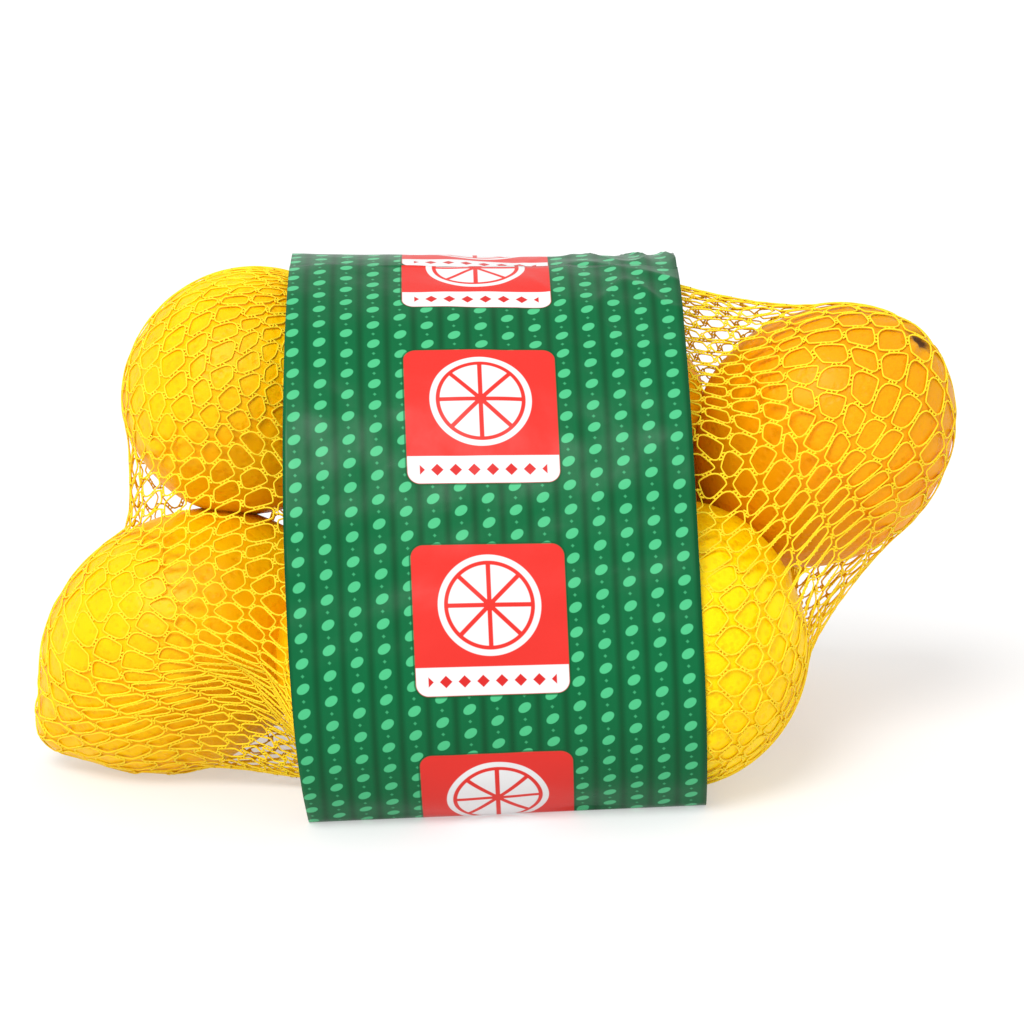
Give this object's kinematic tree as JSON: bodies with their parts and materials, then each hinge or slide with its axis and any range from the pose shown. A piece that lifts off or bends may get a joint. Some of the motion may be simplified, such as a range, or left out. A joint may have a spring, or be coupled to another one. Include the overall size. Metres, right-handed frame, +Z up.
{
  "type": "net of lemons",
  "caption": "Whole lemons held tight in a knitted net bag, with a wide printed film band wrapped round the middle; the pack stands on the band's flat underside.",
  "frame": {"origin": "bottom centre of the whole pack's box", "axes": "+X along the pack, across the band's width; -Y towards the side that the band's main print faces; +Z up"},
  "size_m": [0.2326, 0.1398, 0.1247],
  "materials": {
    "lemon_peel": "waxy yellow citrus peel with fine pores",
    "net_thread": "thin yellow knitted plastic thread",
    "printed_film": "glossy thin film printed deep green with small light marks and red squares"
  },
  "bodies": {
    "root": {"net_of_lemons": "lemon_peel", "label_band": "printed_film"}
  },
  "joints": []
}
